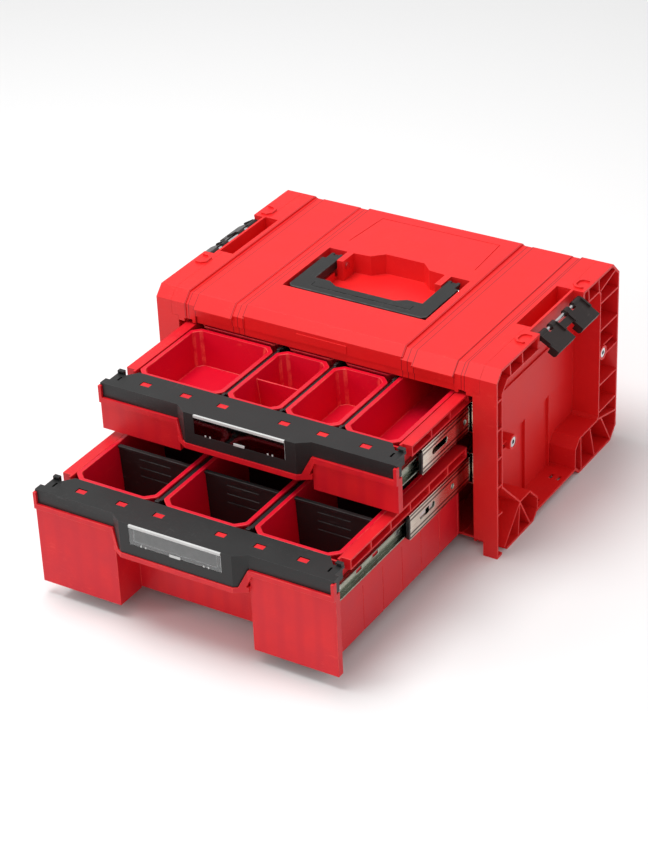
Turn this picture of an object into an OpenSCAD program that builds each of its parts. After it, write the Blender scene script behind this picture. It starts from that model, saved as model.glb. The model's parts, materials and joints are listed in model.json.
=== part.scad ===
// Stackable tool box with two ball bearing drawers.
// X runs to the right, Y to the back, Z up. The origin is the middle of the case at floor level.

/* [Case] */
// Overall width of the case
case_w = 450; // [430:5:500]
// Overall depth of the case, front to back
case_d = 310; // [306:2:340]
// Overall height, over the tongues of the top face
case_h = 244; // [240:2:270]
// Wall of the moulded case pieces
wall = 3; // [2.5:0.1:3.5]
// Depth of the ribbed side frames, from the outer edge to the inner face
side_depth = 37.5; // [36:0.5:42]
// Width of the front uprights
upright_w = 30; // [28:0.5:32]
// Width of the top edge that belongs to each side frame
seam_w = 21; // [20:0.5:22]
// 45 degree chamfer along the top front edge
front_cham = 12; // [10:1:16]
// 45 degree chamfer along the top rear edge
rear_cham = 17; // [12:1:20]
// 45 degree chamfer along the bottom rear edge
base_cham = 15; // [10:1:18]
// Height of the arches between the feet
arch_h = 9; // [8:0.5:11]
// Height of the corner feet below the uprights
corner_foot_h = 20; // [18:0.5:22]
// Width of the corner feet
corner_foot_w = 18; // [14:1:20]
// Height of the tongues above the top face
tongue_h = 2; // [1:0.25:2.5]
// Depth of the grooves that run over the top cover
groove_d = 2.2; // [1.5:0.1:2.4]
// Height of the cover's front band, from the chamfer to the step above the drawer
band_h = 14; // [12:0.5:16]

/* [Side frames] */
// Thickness of the webs in the side frames
web_t = 2.2; // [1.6:0.2:3]
// Spacing of the webs along the rear and front edges
web_pitch = 37; // [34:1:40]
// Height of the screw bosses above the floor
boss_z = 135; // [125:1:145]
// Distance of the screw bosses from the middle, front to back
boss_y = 115; // [110:1:118]
// Outer radius of the screw bosses
boss_r = 9; // [8:0.5:11]
// Radius of the frame bolts' shanks
bolt_r = 3; // [2.5:0.25:4]
// Radius of the frame bolts' heads
bolt_head_r = 6; // [5:0.25:7]

/* [Carry handle] */
// Outer width of the carry handle
handle_w = 184; // [176:2:190]
// Distance from the handle's pivot to its front edge
handle_reach = 86; // [80:1:90]
// Width of the handle's arms
handle_arm_w = 20; // [18:0.5:22]
// Thickness of the handle
handle_t = 11; // [9:0.5:12]
// Radius of the handle's pins
handle_pin_r = 3; // [2:0.25:3.5]
// Depth of the hand recess below the top face
recess_d = 26; // [22:1:28]

/* [Side latches] */
// Length of each side latch along the case
latch_l = 104; // [96:1:108]
// Reach of each latch from its pin to its hooks
latch_reach = 27; // [24:0.5:30]
// Angle of the latches below level, as they stand
latch_angle = 31; // [20:1:45]
// Radius of the latch pins
latch_pin_r = 2; // [1.5:0.1:2.5]

/* [Drawers] */
// Depth of the upper drawer's bar below the top face
lid_depth = 36.5; // [34:0.5:38]
// Distance between the bars of the two drawers
bar_pitch = 67; // [65:0.5:68]
// Height of the lower drawer's foot above the floor
foot_gap = 16.5; // [15:0.5:20]
// Height of the upper drawer's front panel, from its foot to the top of the bar
upper_h = 60; // [58:0.5:61]
// How far the upper drawer stands out
upper_out = 163; // [120:1:200]
// How far the lower drawer stands out
lower_out = 296; // [250:1:300]
// Width of the drawers' front panels
front_w = 387; // [384:0.5:388]
// Length of a drawer, from the front panel to the back
drawer_l = 299; // [290:1:300]
// Wall of the drawer shells
shell_t = 2.5; // [2:0.1:3]
// Depth of the hand hollow in the middle of each drawer front
hollow_d = 40; // [36:1:44]
// Width of the hand hollow
hollow_w = 174.6; // [166:0.2:180]
// How far the middle of the bar stands out
bulge_d = 10.5; // [8:0.5:12]
// Height of the middle of the bar
bulge_h = 39.5; // [36:0.5:42]
// Height of the ends of the bar
bar_h = 18; // [15:0.5:20]
// Width of the label window
label_w = 118; // [100:1:124]
// Height of the label window
label_h = 24; // [18:0.5:27]

/* [Slides] */
// Length of each slide member
slide_l = 288; // [280:1:290]
// Height of the outer slide member
slide_h = 40; // [38:0.5:41]
// Thickness of a slide between the case and the drawer
slide_t = 12.7; // [12.5:0.1:13.2]
// Height of the slide's middle line below the top of the bar
slide_drop = 35.5; // [35:0.5:36]
// Radius of the bearing balls
ball_r = 2.2; // [2.1:0.05:2.25]
// Share of the upper drawer's travel that its middle members make
upper_share = 0.667; // [0.6:0.001:0.68]
// Share of the lower drawer's travel that its middle members make
lower_share = 0.47; // [0.46:0.001:0.5]

/* [Bins] */
// Width of the wide bin in the upper drawer
wide_bin_w = 112; // [108:1:114]
// Width of the narrow bins in the upper drawer
narrow_bin_w = 68; // [64:0.5:68]
// Length of the short bins
short_bin_l = 121; // [112:1:126]
// Width of the deep bins in the lower drawer
deep_bin_w = 105; // [100:1:106]
// Wall of the bins
bin_t = 2; // [1.6:0.1:2.4]
// Distance of the front dividers from the bins' front
divider_y = 83; // [75:1:95]

/* [Hidden] */

$fn = 48;
red = "#e0312c";
black = "#2b2c2e";
zinc = "#b9bcbb";
steel = "#d5d6d6";
glass = "#c9ced1";

// Clearance between fixed pieces that fit together
fit = 0.2;
eps = 0.01;
// Setting a 45 degree corner in by i moves its ends by this share of i
turn = tan(22.5);

half_w = case_w / 2;
half_d = case_d / 2;
top_z = case_h - tongue_h;
inner_x = half_w - side_depth;
opening_x = half_w - upright_w;
cover_x = half_w - seam_w;
band_z = top_z - front_cham - band_h;
corner_band_z = band_z - 4;
upper_top = top_z - lid_depth;
lower_top = upper_top - bar_pitch;
lower_h = lower_top - foot_gap;
lid_low = upper_top + 0.8;
runner_w = 26;
runner_y = half_d - 45;

// Boxes and prisms

// A box between two corners
module box(a, b) {
    translate(a) cube(b - a);
}

// An outline of [y, z] points, drawn from x0 to x1
module prism_x(points, x0, x1) {
    translate([x0, 0, 0]) rotate([90, 0, 90]) linear_extrude(x1 - x0) polygon(points);
}

// An outline of [x, y] points, drawn from z0 to z1
module prism_z(points, z0, z1) {
    translate([0, 0, z0]) linear_extrude(z1 - z0) polygon(points);
}

// An outline of [x, z] points, drawn from y0 to y1
module prism_y(points, y0, y1) {
    translate([0, y1, 0]) rotate([90, 0, 0]) linear_extrude(y1 - y0) polygon(points);
}

// A rectangle with chamfered corners, in the middle of the origin
function cut_rect(w, d, c) = [
    [-w / 2 + c, -d / 2], [w / 2 - c, -d / 2], [w / 2, -d / 2 + c], [w / 2, d / 2 - c],
    [w / 2 - c, d / 2], [-w / 2 + c, d / 2], [-w / 2, d / 2 - c], [-w / 2, -d / 2 + c]
];

// A rod along X
module rod_x(r, x0, x1, y, z) {
    translate([x0, y, z]) rotate([0, 90, 0]) cylinder(r = r, h = x1 - x0);
}

// A copy on both sides of the middle
module both_sides() {
    children();
    mirror([1, 0, 0]) children();
}

// One piece on the left or on the right, drawn for the right
module on_side(side) {
    if (side > 0) children();
    else mirror([1, 0, 0]) children();
}

// Side frames

// Feet and arch along the bottom, front to back
front_foot_end = -half_d + 90;
rear_foot_start = half_d - 101;

// Outline of a side, set in by i
function side_outline(i) = [
    [-half_d + i, i],
    [front_foot_end - turn * i, i],
    [front_foot_end + arch_h - turn * i, arch_h + i],
    [rear_foot_start - arch_h + turn * i, arch_h + i],
    [rear_foot_start + turn * i, i],
    [half_d - base_cham - turn * i, i],
    [half_d - i, base_cham + turn * i],
    [half_d - i, top_z - rear_cham - turn * i],
    [half_d - rear_cham - turn * i, top_z - i],
    [-half_d + front_cham + turn * i, top_z - i],
    [-half_d + i, top_z - front_cham - turn * i]
];

// Inner ring of a side frame, set in by i
ring_front = -half_d + 12;
ring_rear = half_d - 48.7;
ring_top = top_z - 18;
ring_foot = 45;
knee = 18;
function ring_outline(i) = [
    [front_foot_end + arch_h + i, arch_h],
    [front_foot_end + arch_h + i, ring_foot - knee + turn * i],
    [front_foot_end + arch_h - knee + turn * i, ring_foot + i],
    [ring_front + 44 + turn * i, ring_foot + i],
    [ring_front + i, ring_foot + 44 + turn * i],
    [ring_front + i, ring_top - 13 - turn * i],
    [ring_front + 13 + turn * i, ring_top - i],
    [ring_rear - 5 - turn * i, ring_top - i],
    [ring_rear - i, ring_top - 5 - turn * i],
    [ring_rear - i, ring_foot + 7 + turn * i],
    [ring_rear - 5 - turn * i, ring_foot + 2 + i],
    [rear_foot_start - arch_h + 10 - turn * i, ring_foot + 2 + i],
    [rear_foot_start - arch_h - i, ring_foot - 8 + turn * i],
    [rear_foot_start - arch_h - i, arch_h]
];

// A straight web between two [y, z] points
module web(a, b, x0 = inner_x + wall - 1, x1 = half_w) {
    d = b - a;
    l = norm(d);
    n = [-d[1], d[0]] / l * web_t / 2;
    prism_x([a - n, b - n, b + n, a + n], x0, x1);
}

// The latch's bay and the finger pocket beside it
latch_y = 4;
bay_front = latch_y - latch_l / 2 - 3;
bay_rear = latch_y + latch_l / 2 + 3;
bay_x = half_w - 13;
bay_z = top_z - 42;
pocket_front = latch_y - 46;
pocket_rear = latch_y + 56;
pocket_z = top_z - 28;
latch_pin_x = half_w - 4;
latch_pin_z = top_z - 8;

// Bare raised plate on the recessed panel
plate_front = -half_d + 75;
plate_rear = half_d - 77;
plate_low = 107;
plate_high = 172;

module side_webs() {
    for (i = [0:4]) {
        z = 57 + i * web_pitch;
        if (z < ring_top - 6) {
            web([ring_rear - 1, z], [half_d - wall / 2, z]);
            web([-half_d + wall / 2, z], [ring_front + 1, z]);
        }
    }
    for (y = [ring_front + 22, ring_front + 51, ring_rear - 32, ring_rear - 5])
        web([y, ring_top - 1], [y - 2, top_z - wall / 2]);
    web([ring_rear - 2, ring_top - 2], [half_d - rear_cham / 2 - wall / 2, top_z - rear_cham / 2 - wall / 2]);
    // Braces that spread from the knees of the inner ring to the feet
    for (y = [-half_d + 14, -half_d + 52, front_foot_end - 8])
        web([ring_front + 44, ring_foot + 1], [y, wall / 2]);
    for (y = [rear_foot_start + 6, rear_foot_start + 42, half_d - base_cham])
        web([y - (y - rear_foot_start) / 3, ring_foot + 3], [y, wall / 2]);
    web([ring_rear - 3, ring_foot + 4], [half_d - wall, base_cham + 22]);
}

// Screw boss with the web that carries it
module side_boss(y, toward) {
    rod_x(boss_r, inner_x + eps, half_w, y, boss_z);
    box([inner_x + eps, min(y, toward), boss_z - 5], [half_w - 5, max(y, toward), boss_z - 5 + web_t]);
    box([inner_x + eps, min(y, toward), boss_z + 5 - web_t], [half_w - 5, max(y, toward), boss_z + 5]);
}

module side_frame_solid() {
    difference() {
        union() {
            prism_x(side_outline(0), inner_x, inner_x + wall);
            difference() {
                prism_x(side_outline(0), inner_x, half_w);
                prism_x(side_outline(wall), inner_x - 1, half_w + 1);
            }
            difference() {
                prism_x(ring_outline(0), inner_x + 1, half_w);
                prism_x(ring_outline(web_t), inner_x, half_w + 1);
                box([inner_x, front_foot_end + arch_h + web_t, 0],
                    [half_w + 1, rear_foot_start - arch_h - web_t, arch_h + wall]);
            }
            side_webs();
            side_boss(-boss_y, ring_front + 1);
            side_boss(boss_y, half_d - wall / 2);
            // Ledge that the top cover rests on
            difference() {
                prism_x(side_outline(wall + fit), inner_x, cover_x + 3);
                prism_x(side_outline(2 * wall), inner_x - 1, half_w);
                box([inner_x - 1, -half_d, -1], [half_w, half_d, corner_band_z - 6]);
            }
            // Walls of the finger pocket
            box([inner_x, pocket_front - wall, pocket_z - wall], [bay_x, pocket_rear + wall, top_z - wall]);
            // Bare plate and the two ribs below it
            box([inner_x + wall - 1, plate_front, plate_low], [inner_x + wall + 2, plate_rear, plate_high]);
            for (y = [-26, 35])
                box([inner_x + wall - 1, y - 1, arch_h], [inner_x + wall + 3.5, y + 1, plate_low + 1]);
            // Lugs that hold the latch's pin
            for (y = [bay_front - 5, bay_rear])
                box([bay_x - 3, y, top_z - 20], [half_w - 0.5, y + 5, top_z - wall]);
            // Jamb and step behind the drawer fronts
            box([opening_x, -half_d, corner_foot_h], [opening_x + wall, -half_d + 17, top_z - front_cham]);
            box([inner_x, -half_d + 14, arch_h], [opening_x + wall, -half_d + 17, top_z - wall - 1]);
        }
        // The opening for the drawer fronts, down to the corner feet
        box([inner_x - 1, -half_d - 1, -1], [opening_x, -half_d + 14, corner_band_z]);
        box([inner_x - 1, -half_d - 1, -1], [half_w - corner_foot_w, -half_d + 14 + eps, corner_foot_h]);
        // Gap behind the corner foot
        box([inner_x - 1, -half_d + 12, -1], [half_w + 1, -half_d + 24, 6]);
        // Room for the top cover
        difference() {
            box([inner_x - 1, -half_d - 1, lid_low - fit], [cover_x + fit, half_d + 1, case_h]);
            prism_x(side_outline(wall + fit), inner_x - 2, half_w);
            box([inner_x - 2, -half_d - 2, 0], [half_w, 0, corner_band_z - fit]);
        }
        // Finger pocket and latch bay
        box([inner_x + wall, pocket_front, pocket_z], [bay_x - wall, pocket_rear, case_h]);
        box([bay_x, bay_front, bay_z], [half_w + 1, bay_rear, case_h]);
        rod_x_holes();
        // Slots in the sill between the feet
        for (y = [-42, 16]) for (x = [half_w - 20, half_w - 10])
            box([x, y - 5, arch_h - 1], [x + 4, y + 5, arch_h + wall + 1]);
        // Holes for the screws of the slides
        for (top = [upper_top, lower_top]) at_slide(top, 0) for (y = screw_ys)
            translate([-2.5, y, 0]) rotate([0, 90, 0]) cylinder(r = screw_r + 0.05, h = 3);
    }
    // Tongues on the top face that the box above slides over
    for (y = [latch_y - 74, latch_y + 72])
        translate([half_w - 10.5, y, top_z - 1]) difference() {
            prism_z(cut_rect(17, 22, 5), 0, tongue_h + 1);
            translate([4, 0, 0]) prism_z(cut_rect(19, 17, 4), 1, tongue_h + 2);
        }
}

// Holes for the frame bolts and for the latch's pin
module rod_x_holes() {
    for (y = [-boss_y, boss_y]) {
        rod_x(bolt_r + fit, inner_x - 1, half_w + 1, y, boss_z);
        rod_x(bolt_head_r + fit, half_w - 6, half_w + 1, y, boss_z);
    }
    translate([latch_pin_x, bay_front - 4, latch_pin_z]) rotate([-90, 0, 0])
        cylinder(r = latch_pin_r, h = bay_rear - bay_front + 8);
}

module side_frame(side) {
    color(red) on_side(side) side_frame_solid();
}

// Socket head bolts through the bosses, with a shoulder washer face
module frame_bolts() {
    color(steel) both_sides() for (y = [-boss_y, boss_y]) difference() {
        union() {
            rod_x(bolt_r, inner_x + eps, half_w - 6, y, boss_z);
            rod_x(bolt_head_r, half_w - 6, half_w - 0.5, y, boss_z);
        }
        translate([half_w - 4.5, y, boss_z]) rotate([0, 90, 0]) cylinder(r = 2.9, h = 5, $fn = 6);
    }
}

// Top cover

// Edges of the cover's fields, outward from the middle
middle_field_x = cover_x - 98;
side_field_x = cover_x - 85;
side_field_end = cover_x - 32;
corner_field_x = cover_x - 20;

// Outline of the cover: drop is how far its top lies below the top face, face how far its front lies
// behind the case's front, cut how far its chamfers lie behind those of the sides, i the inset
function cover_outline(drop, face, cut, low, i) = let (
    front = -half_d + face + i,
    rear = half_d - i,
    top = top_z - drop - i,
    slope = top_z - front_cham + half_d - cut - i * sqrt(2),
    back_slope = top_z - rear_cham + half_d - drop - i * sqrt(2)
) [[front, low], [rear, low], [rear, back_slope - rear], [back_slope - top, top], [top - slope, top],
   [front, slope + front]];

// The cover's skin from x0 to x1
module cover_skin(x0, x1, drop, face, cut) {
    difference() {
        prism_x(cover_outline(drop, face, cut, lid_low, 0), x0, x1);
        prism_x(cover_outline(drop, face, cut, lid_low - 1, wall), x0 - 1, x1 + 1);
    }
}

// The skin of one side of the cover, with its grooves, its field and its corner
module cover_side() {
    cover_skin(middle_field_x - 2, side_field_x + 2, groove_d, 1, 1.8);
    cover_skin(side_field_x, side_field_end, groove_d - 0.8, 1, 0.6);
    cover_skin(side_field_end - 2, corner_field_x + 2, groove_d, 1, 1.8);
    cover_skin(corner_field_x, cover_x, 0, 0, 0);
    // Nose at the lower end of the field's chamfer
    prism_x([[-half_d + 1.5, nose_z - 6], [-half_d - 2.5, nose_z - 4], [-half_d - 2.5, nose_z - 2.5],
             [-half_d + 1.5, nose_z + 1.5]], side_field_x, side_field_end);
    // Stiffening ribs under the field
    intersection() {
        for (x = [side_field_x + 11 : 15 : side_field_end - 10])
            box([x, -half_d, top_z - wall - 10], [x + 2, half_d, top_z - 2]);
        prism_x(cover_outline(groove_d, 1, 1.8, lid_low, 1), side_field_x, side_field_end);
    }
}

handle_y = 9;
handle_z = top_z - 9;
arm_in = handle_w / 2 - handle_arm_w;
channel_x = handle_w / 2 + 3.5;
channel_front = handle_y - handle_reach - 5;
channel_rear = handle_y + 16;
cavity_x = arm_in - 10;
hand_z = top_z - recess_d;
grip_z = top_z - handle_t - 4;
nose_z = top_z - front_cham - 0.6;
line_front = channel_rear + 27;
line_rear = half_d - 33;

// The hand recess, widening behind the handle
cavity = [
    [-arm_in, channel_front + 30], [arm_in, channel_front + 30], [arm_in, handle_y - 9],
    [cavity_x, handle_y - 9], [cavity_x, channel_rear], [40, channel_rear + 2], [26, channel_rear + 15],
    [-26, channel_rear + 15], [-40, channel_rear + 2], [-cavity_x, channel_rear],
    [-cavity_x, handle_y - 9], [-arm_in, handle_y - 9]
];

module top_cover() {
    color(red) difference() {
        union() {
            cover_skin(-middle_field_x, middle_field_x, 0, 2, 0);
            both_sides() cover_side();
            // Tub of the handle recess, hanging below the top
            box([-channel_x - wall, channel_front - wall, hand_z - wall],
                [channel_x + wall, channel_rear + wall, top_z - 1]);
            prism_z([[-45, channel_rear], [45, channel_rear], [28, channel_rear + 15 + wall],
                     [-28, channel_rear + 15 + wall]], hand_z - wall, top_z - 1);
            // Bar behind the step above the drawer
            box([-side_field_end, -half_d + 3, lid_low], [side_field_end, -half_d + 7, lid_low + 14]);
            // Bare name plate on the front band
            box([-33, -half_d + 1.2, band_z + 1.5], [33, -half_d + 3, top_z - front_cham - 2.5]);
        }
        // Step above the drawer, and the corners that the side frames take up
        box([-side_field_end, -half_d - 1, lid_low - 1], [side_field_end, -half_d + 3.2, band_z]);
        both_sides() {
            box([opening_x - fit, -half_d - 1, lid_low - 1], [half_w, 0, corner_band_z]);
            box([hook_x - 9.5, -half_d - 1, lid_low - 1], [hook_x + 1, -half_d + 12, upper_top + 4.8]);
        }
        // Handle channel, hand recess and pivot pockets
        difference() {
            box([-channel_x, channel_front, grip_z], [channel_x, channel_rear, case_h]);
            both_sides() box([cavity_x - 1, handle_y - 9, 0], [arm_in - 1.5, channel_rear + 1, case_h]);
        }
        prism_z(cavity, hand_z, case_h);
        both_sides() box([arm_in - 1.5, handle_y - 12, grip_z - 7], [channel_x - 2, channel_rear, case_h]);
        // Hollows below the channel, open downward
        both_sides() box([arm_in + wall, channel_front, hand_z - wall - 1],
                         [channel_x - wall, handle_y - 16, grip_z - wall]);
        both_sides() rod_x(handle_pin_r, cavity_x - 1, channel_x + 2, handle_y, handle_z);
        // Finger pockets beside the side latches
        both_sides() box([inner_x + wall, pocket_front, top_z - 60], [cover_x + 1, pocket_rear, case_h]);
        // Engraved line round the bare field behind the handle
        difference() {
            prism_z([[-84, line_front], [-78, line_rear], [84, line_rear], [88, line_front]],
                    top_z - 0.8, case_h);
            prism_z([[-83, line_front - 2], [-77, line_rear - 1], [83, line_rear - 1], [87, line_front - 2]],
                    top_z - 5, case_h + 1);
        }
    }
}

module handle_pins() {
    color(steel) both_sides() {
        rod_x(handle_pin_r, cavity_x - 0.5, channel_x + 2, handle_y, handle_z);
        rod_x(handle_pin_r + 1.2, cavity_x - 1.5, cavity_x - 0.5, handle_y, handle_z);
    }
}

// Carry handle, lying flat, front edge forward
module carry_handle() {
    front = handle_y - handle_reach;
    top = top_z - 1.2;
    low = top - handle_t;
    color(black) difference() {
        union() {
            prism_z([
                [-handle_w / 2 + 5, front], [handle_w / 2 - 5, front], [handle_w / 2, front + 5],
                [handle_w / 2, handle_y - 6], [arm_in, handle_y - 6], [arm_in, front + 31],
                [arm_in - 20, front + 31], [arm_in - 34, front + 22],
                [-arm_in + 34, front + 22], [-arm_in + 20, front + 31], [-arm_in, front + 31],
                [-arm_in, handle_y - 6], [-handle_w / 2, handle_y - 6], [-handle_w / 2, front + 5]
            ], low, top);
            // Knuckles round the pins, with the short tips behind them
            both_sides() {
                rod_x(handle_pin_r + 3, arm_in, handle_w / 2 - 5, handle_y, handle_z);
                box([arm_in, handle_y - 8, top - 5], [handle_w / 2 - 5, handle_y + 8.5, top]);
                box([arm_in, handle_y - 8, low + 1], [handle_w / 2 - 5, handle_y, top]);
            }
        }
        // Groove round the grip
        difference() {
            box([-arm_in + 5, front + 10, top - 1], [arm_in - 5, front + 22, top + 1]);
            box([-arm_in + 6.5, front + 11.5, top - 2], [arm_in - 6.5, front + 40, top + 2]);
        }
        // Grip relieved below, and notches beside the tips
        box([-arm_in - 8, front + 4, low - 1], [arm_in + 8, front + 18, low + 5]);
        both_sides() {
            rod_x(handle_pin_r + 0.05, arm_in - 1, handle_w / 2 + 1, handle_y, handle_z);
            box([arm_in + 3, front + 24, low - 1], [handle_w / 2 - 3, handle_y - 14, low + 6]);
            box([arm_in + 4, handle_y + 3, top - 1.5], [handle_w / 2 - 9, handle_y + 9, top + 1]);
        }
    }
}

// Side latches

// One latch, drawn level and pointing outward from its pin along X
module latch_level() {
    knuckle = latch_pin_r + 2.2;
    difference() {
        union() {
            for (y = [-1, 1]) {
                translate([0, y * latch_l / 2 - (y + 1) * 9, 0]) rotate([-90, 0, 0])
                    cylinder(r = knuckle, h = 18);
                translate([0, y * 18 - 5, 0]) rotate([-90, 0, 0]) cylinder(r = knuckle, h = 10);
            }
            // Plate with its two hooked feet
            box([1, -latch_l / 2, -1], [14, latch_l / 2, 3]);
            for (y = [-latch_l / 2, latch_l / 2 - 42]) {
                box([6, y, -1], [latch_reach, y + 42, 3]);
                prism_y([[latch_reach - 9, -7], [latch_reach, -7], [latch_reach + 2, -4],
                         [latch_reach + 2, 3], [latch_reach - 9, 3]], y, y + 42);
            }
            for (y = [-latch_l / 2, -14, 11, latch_l / 2 - 3])
                box([1, y, 2], [16, y + 3, 5]);
        }
        // Ribs of the feet, cut between
        for (s = [-latch_l / 2, latch_l / 2 - 42]) for (i = [0:4])
            box([latch_reach - 6.5, s + 3 + i * 7.6, -8], [latch_reach - 1, s + 8.6 + i * 7.6, -1]);
        // The rod shows between the knuckles
        for (y = [-latch_l / 2 + 18.4, 23.4])
            box([-8, y, -8], [knuckle + 0.5, y + latch_l / 2 - 41.8, 8]);
        box([-8, -12.6, -8], [knuckle + 0.5, 12.6, 8]);
        translate([0, -latch_l / 2 - 1, 0]) rotate([-90, 0, 0])
            cylinder(r = latch_pin_r + 0.05, h = latch_l + 2);
    }
}

module side_latch(side) {
    color(black) on_side(side) translate([latch_pin_x, latch_y, latch_pin_z])
        rotate([0, latch_angle, 0]) latch_level();
}

module latch_pins() {
    color(steel) both_sides() translate([latch_pin_x, bay_front - 4, latch_pin_z]) rotate([-90, 0, 0])
        cylinder(r = latch_pin_r, h = bay_rear - bay_front + 8);
}

// Back and base

module back_panel() {
    color(red) union() {
        box([-inner_x, half_d - wall, arch_h], [inner_x, half_d, lid_low - fit]);
        for (x = [-inner_x + 37.5 : 50 : inner_x - 37.5])
            box([x - 1, half_d - wall - 3, arch_h + wall], [x + 1, half_d - 1, lid_low - fit]);
        box([-inner_x + 20, half_d - wall - 3, arch_h + wall], [inner_x - 20, half_d - 1, arch_h + wall + 3]);
    }
}

module base_plate() {
    low = arch_h - 6;
    color(red) difference() {
        union() {
            box([-inner_x, -half_d + 15, arch_h], [inner_x, half_d - wall, arch_h + wall]);
            for (x = [-inner_x + 27.5 : 40 : inner_x - 27.5])
                box([x - 1, -half_d + 20, low], [x + 1, half_d - 20, arch_h + 1]);
            for (y = [-half_d + 35 : 60 : half_d - 35])
                box([-inner_x + 20, y - 1, low], [inner_x - 20, y + 1, arch_h + 1]);
            both_sides() for (x = [inner_x - 47.5, inner_x - 15.5])
                box([x, -half_d + 15, arch_h + 1], [x + 2, half_d - 2 * wall - fit, arch_h + wall + 1.5]);
            // Runner along the middle, level with the feet
            box([-runner_w / 2, -runner_y, 0], [runner_w / 2, runner_y, arch_h + wall]);
        }
        box([-runner_w / 2 + wall, -runner_y + wall, wall],
            [runner_w / 2 - wall, runner_y - wall, arch_h + wall + 1]);
    }
}

// Drawers. Each is drawn with its front face at y = 0, its bar's top at z = 0, open to the back.

drawer_x = inner_x - slide_t;
rim_x = inner_x - 1.5;
lip_h = 6.5;
lip_d = 3;
bin_y = hollow_d;
bar_rear = hollow_d - 1;
front_t = 3;
tray_x = drawer_x - shell_t;
hook_x = inner_x - 1.5;
hollow_x = hollow_w / 2;
bulge_x = hollow_x - 15;

// Windows of the bar, with the shell's lugs in them
window_x = [40, 89, 143];
window_y = 20;

// Front edge of the bar, set in by i
function bar_front(i) = [
    [-front_w / 2 + 1.5 + i, i], [-hollow_x + turn * i, i], [-bulge_x + turn * i, -bulge_d + i],
    [bulge_x - turn * i, -bulge_d + i], [hollow_x - turn * i, i], [front_w / 2 - 1.5 - i, i]
];

// Outline of the bar, set in by i: its ends narrow behind the case's front edge
function bar_outline(i) = concat(bar_front(i), [
    [front_w / 2 - 1.5 - i, 11 - i], [hook_x + 0.5 - i, 11 - i], [hook_x + 0.5 - i, 27 - i],
    [drawer_x - i, 27 - i], [drawer_x - 10 - i, bar_rear - i], [-drawer_x + 10 + i, bar_rear - i],
    [-drawer_x + i, 27 - i], [-hook_x - 0.5 + i, 27 - i], [-hook_x - 0.5 + i, 11 - i],
    [-front_w / 2 + 1.5 + i, 11 - i]
]);

// Shelf below the middle of the bar, set in by i
function shelf_outline(i) = [
    [-hollow_x + i, -lip_d + i], [-bulge_x + turn * i, -bulge_d - 1.5 + i],
    [bulge_x - turn * i, -bulge_d - 1.5 + i], [hollow_x - i, -lip_d + i],
    [hollow_x - i, hollow_d + 1], [-hollow_x + i, hollow_d + 1]
];

// Slope between the bulge and the end of the bar, from its upper edge at a to its lower edge at b
function rise(a, b) = [
    [hollow_x - 10, -bulge_h - a], [hollow_x, -bar_h - a], [hollow_x + b + 0.7, -bar_h - a],
    [hollow_x + b - 2.5, -bar_h - b], [hollow_x + b - 12, -bulge_h - b], [hollow_x - 13, -bulge_h - b]
];

// Shell of a drawer: h is its height and foot the height of its floor above the panel's foot
module drawer_shell_solid(h, foot) {
    floor_z = -h + foot;
    rim_z = -1;
    flange_z = -slide_drop + slide_h / 2 + 1;
    difference() {
        union() {
            // Tray
            box([-drawer_x, hollow_d, floor_z], [drawer_x, drawer_l, rim_z]);
            // Shelf below the middle of the bar, with its lip
            difference() {
                prism_z(shelf_outline(0), -bulge_h - lip_h, -bulge_h);
                prism_z(shelf_outline(shell_t), -bulge_h - lip_h - 1, -bulge_h - shell_t);
            }
            both_sides() {
                // Box in front of the tray, beside the hand hollow
                box([hollow_x, 0, floor_z], [drawer_x, hollow_d + 1, -bar_h]);
                box([hollow_x, 0, -h], [hollow_x + front_t, hollow_d, floor_z + 1]);
                // Front panel with its lip, its ear and its returned edge
                box([hollow_x, 0, -h], [front_w / 2, front_t, -bar_h]);
                box([hollow_x + 2, -lip_d, -bar_h - lip_h], [front_w / 2, front_t, -bar_h]);
                box([front_w / 2 - 4, -lip_d, -bar_h - 1], [front_w / 2, front_t, -3]);
                box([front_w / 2 - shell_t, 0, -h], [front_w / 2, 9, -bar_h]);
                // Rise of the lip where the bar's bulge ends
                intersection() {
                    prism_y(rise(0, lip_h), -bulge_d - 2, front_t);
                    union() {
                        prism_z(shelf_outline(0), -bulge_h - lip_h, -bar_h);
                        box([hollow_x - 1, -lip_d, -bulge_h], [hollow_x + 9, front_t, -bar_h]);
                    }
                }
                // Flange with pockets along the tray's side
                difference() {
                    box([drawer_x - 1, hollow_d + 4, flange_z], [rim_x, drawer_l, rim_z]);
                    for (y = [hollow_d + 6 : 42 : drawer_l - 6])
                        box([drawer_x, y, flange_z + 2],
                            [rim_x + 1, min(y + 40, drawer_l - 2), rim_z - shell_t]);
                }
            }
        }
        // Inside of the tray, whose front wall stays low for the rims of the bins
        box([-tray_x, hollow_d + shell_t, floor_z + shell_t], [tray_x, drawer_l - shell_t, 1]);
        box([-tray_x, hollow_d - 1, -5], [tray_x, hollow_d + shell_t + 1, 1]);
        both_sides() {
            // The boxes in front are open below
            box([hollow_x + front_t, front_t, -h - 1], [tray_x, hollow_d, -bar_h - shell_t]);
            for (y = screw_ys)
                rod_x(screw_r + 0.05, tray_x + 0.1, drawer_x + 1, slide_set + y, -slide_drop);
        }
    }
    // Lugs that the bar snaps over
    both_sides() for (x = window_x)
        box([x - 6, window_y - 4, x < hollow_x - 6 ? -bulge_h - 1 : -bar_h - 1],
            [x + 6, window_y + 4, -0.8]);
}

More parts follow.
